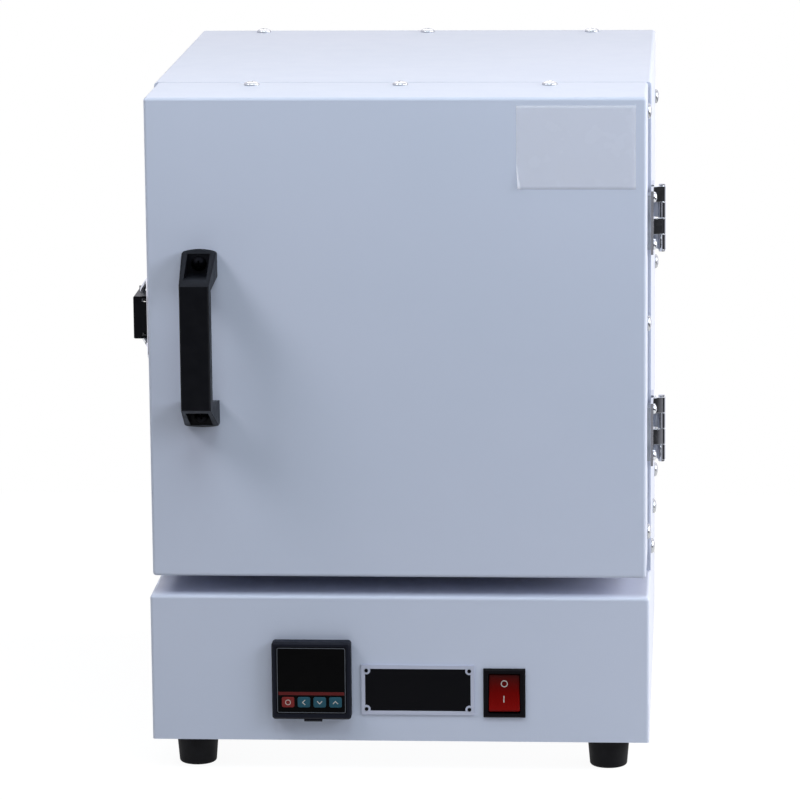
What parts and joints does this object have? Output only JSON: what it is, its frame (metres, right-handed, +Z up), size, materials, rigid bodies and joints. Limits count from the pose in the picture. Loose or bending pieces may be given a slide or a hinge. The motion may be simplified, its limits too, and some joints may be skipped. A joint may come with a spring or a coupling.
{
  "type": "burnout furnace",
  "caption": "Bench-top burnout furnace: hinged firebrick door with pull handle and toggle latch over a control box with temperature controller, nameplate and rocker switch.",
  "frame": {"origin": "on the bench, under the middle of the enclosing box", "axes": "+Z up, -Y to the front, where the door is, +X to the right, where its hinges are"},
  "size_m": [0.3288, 0.396, 0.4154],
  "materials": {
    "cabinet_paint": "satin powder coat, light blue-grey",
    "chrome_steel": "bright plated steel",
    "zinc_steel": "zinc-plated steel",
    "black_plastic": "fine-grained black",
    "foot_rubber": "matt",
    "rocker_red": "glossy red",
    "controller_dark": "dark smoked front",
    "key_red": "red key",
    "key_teal": "teal key",
    "plate_black": "black field on an aluminium plate",
    "firebrick": "rough light firebrick",
    "fibre_board": "ceramic-fibre board",
    "fibre_seal": "woven ceramic fibre",
    "white_ceramic": "smooth technical ceramic",
    "heating_wire": "oxidised resistance wire",
    "brass": "plain",
    "bare_aluminium": "extruded",
    "dark_steel": "blackened steel"
  },
  "bodies": {
    "cabinet": {"body_wrap": "cabinet_paint", "front_frame": "cabinet_paint", "rear_panel": "cabinet_paint", "mid_plate": "zinc_steel", "control_box_shell": "cabinet_paint", "control_rear_panel": "cabinet_paint", "base_plate": "zinc_steel", "rubber_feet": "foot_rubber", "foot_screws": "zinc_steel", "case_screws": "chrome_steel", "bottom_board": "fibre_board", "top_board": "fibre_board", "side_boards": "fibre_board", "rear_board": "fibre_board", "rear_brick": "firebrick", "roof_brick": "firebrick", "hearth_brick": "firebrick", "heater_bricks": "firebrick", "side_heating_coils": "heating_wire", "floor_heating_coil": "heating_wire", "coil_terminals": "brass", "honeycomb_pad": "white_ceramic", "thermocouple_sheath": "white_ceramic", "thermocouple_head": "white_ceramic", "vent_tube": "zinc_steel", "controller_housing": "black_plastic", "controller_window": "controller_dark", "controller_clip": "black_plastic", "switch_housing": "black_plastic", "nameplate": "plate_black", "nameplate_rivets": "dark_steel", "power_inlet": "black_plastic", "inlet_pins": "brass", "inlet_screws": "zinc_steel", "heat_sink": "bare_aluminium", "solid_state_relay": "black_plastic", "terminal_block": "white_ceramic", "body_hinge_leaves": "chrome_steel", "hinge_pins": "chrome_steel", "body_fitting_screws": "chrome_steel", "latch_base": "chrome_steel", "latch_pin": "chrome_steel"},
    "door": {"door_shell": "cabinet_paint", "door_inner_plate": "cabinet_paint", "door_brick": "firebrick", "door_gasket": "fibre_seal", "door_screws": "chrome_steel", "handle": "black_plastic", "handle_screws": "dark_steel", "door_hinge_leaves": "chrome_steel", "hinge_spacers": "zinc_steel", "door_fitting_screws": "chrome_steel", "latch_keeper": "chrome_steel"},
    "latch_lever": {"latch_lever": "black_plastic"},
    "latch_bail": {"latch_bail": "chrome_steel"},
    "switch_rocker": {"switch_rocker": "rocker_red"},
    "key_set": {"key_set": "key_red"},
    "key_shift": {"key_shift": "key_teal"},
    "key_down": {"key_down": "key_teal"},
    "key_up": {"key_up": "key_teal"}
  },
  "joints": [
    {"name": "door_hinge", "type": "hinge", "parent": "cabinet", "child": "door", "pos_m": [0.162, -0.09175, 0.2615], "axis": [0, 0, 1], "range_deg": [0, 180]},
    {"name": "latch_lever_pivot", "type": "hinge", "parent": "cabinet", "child": "latch_lever", "pos_m": [-0.1546, -0.076, 0.266], "axis": [0, 0, 1], "range_deg": [0, 90]},
    {"name": "latch_bail_pivot", "type": "hinge", "parent": "latch_lever", "child": "latch_bail", "pos_m": [-0.1594, -0.064, 0.266], "axis": [0, 0, 1], "range_deg": [-90, 0]},
    {"name": "switch_rocker_pivot", "type": "hinge", "parent": "cabinet", "child": "switch_rocker", "pos_m": [0.0679, -0.1605, 0.0506], "axis": [1, 0, 0], "range_deg": [0, 17]},
    {"name": "key_set_press", "type": "slide", "parent": "cabinet", "child": "key_set", "axis": [0, 1, 0], "range_m": [0, 0.0005], "stiffness_N_per_m": 300},
    {"name": "key_shift_press", "type": "slide", "parent": "cabinet", "child": "key_shift", "axis": [0, 1, 0], "range_m": [0, 0.0005], "stiffness_N_per_m": 300},
    {"name": "key_down_press", "type": "slide", "parent": "cabinet", "child": "key_down", "axis": [0, 1, 0], "range_m": [0, 0.0005], "stiffness_N_per_m": 300},
    {"name": "key_up_press", "type": "slide", "parent": "cabinet", "child": "key_up", "axis": [0, 1, 0], "range_m": [0, 0.0005], "stiffness_N_per_m": 300}
  ],
  "couplings": [
    {"joint": "latch_bail_pivot", "follows": "latch_lever_pivot", "ratio": -1}
  ]
}
